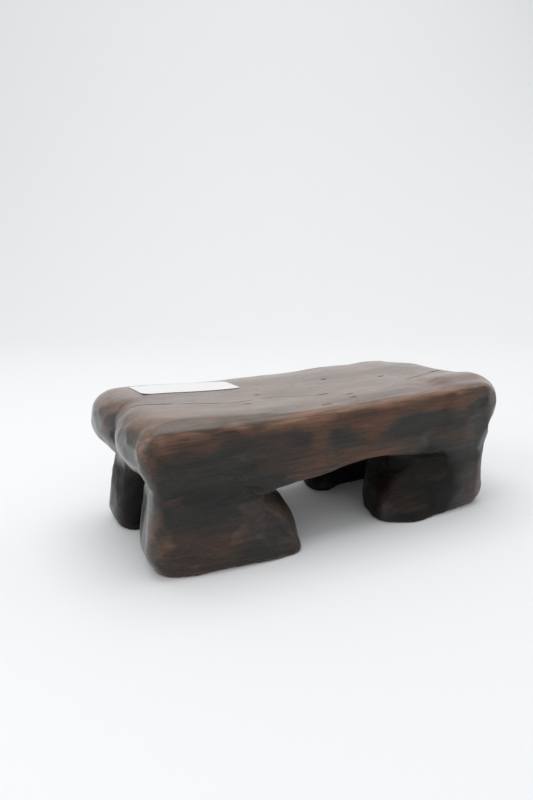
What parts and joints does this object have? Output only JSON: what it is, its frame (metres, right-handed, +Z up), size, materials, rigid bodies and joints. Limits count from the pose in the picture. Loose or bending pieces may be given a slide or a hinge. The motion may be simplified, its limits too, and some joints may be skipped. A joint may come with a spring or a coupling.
{
  "type": "carved wooden headrest",
  "caption": "Carved hardwood headrest: a long dished slab with cleft, lobed ends on short splayed feet, with a blank paper label on top.",
  "frame": {"origin": "centre of the bounding box in X and Y, at floor level under the soles", "axes": "+X along the headrest, +Y across it towards its back (the labelled side), +Z up"},
  "size_m": [0.383, 0.1876, 0.1267],
  "materials": {
    "dark_hardwood": "hand-polished dark patina over adze facets, worn lighter along the top edges",
    "label_paper": "matte white paper, blank"
  },
  "bodies": {
    "root": {"carved_body": "dark_hardwood", "paper_label": "label_paper"}
  },
  "joints": []
}
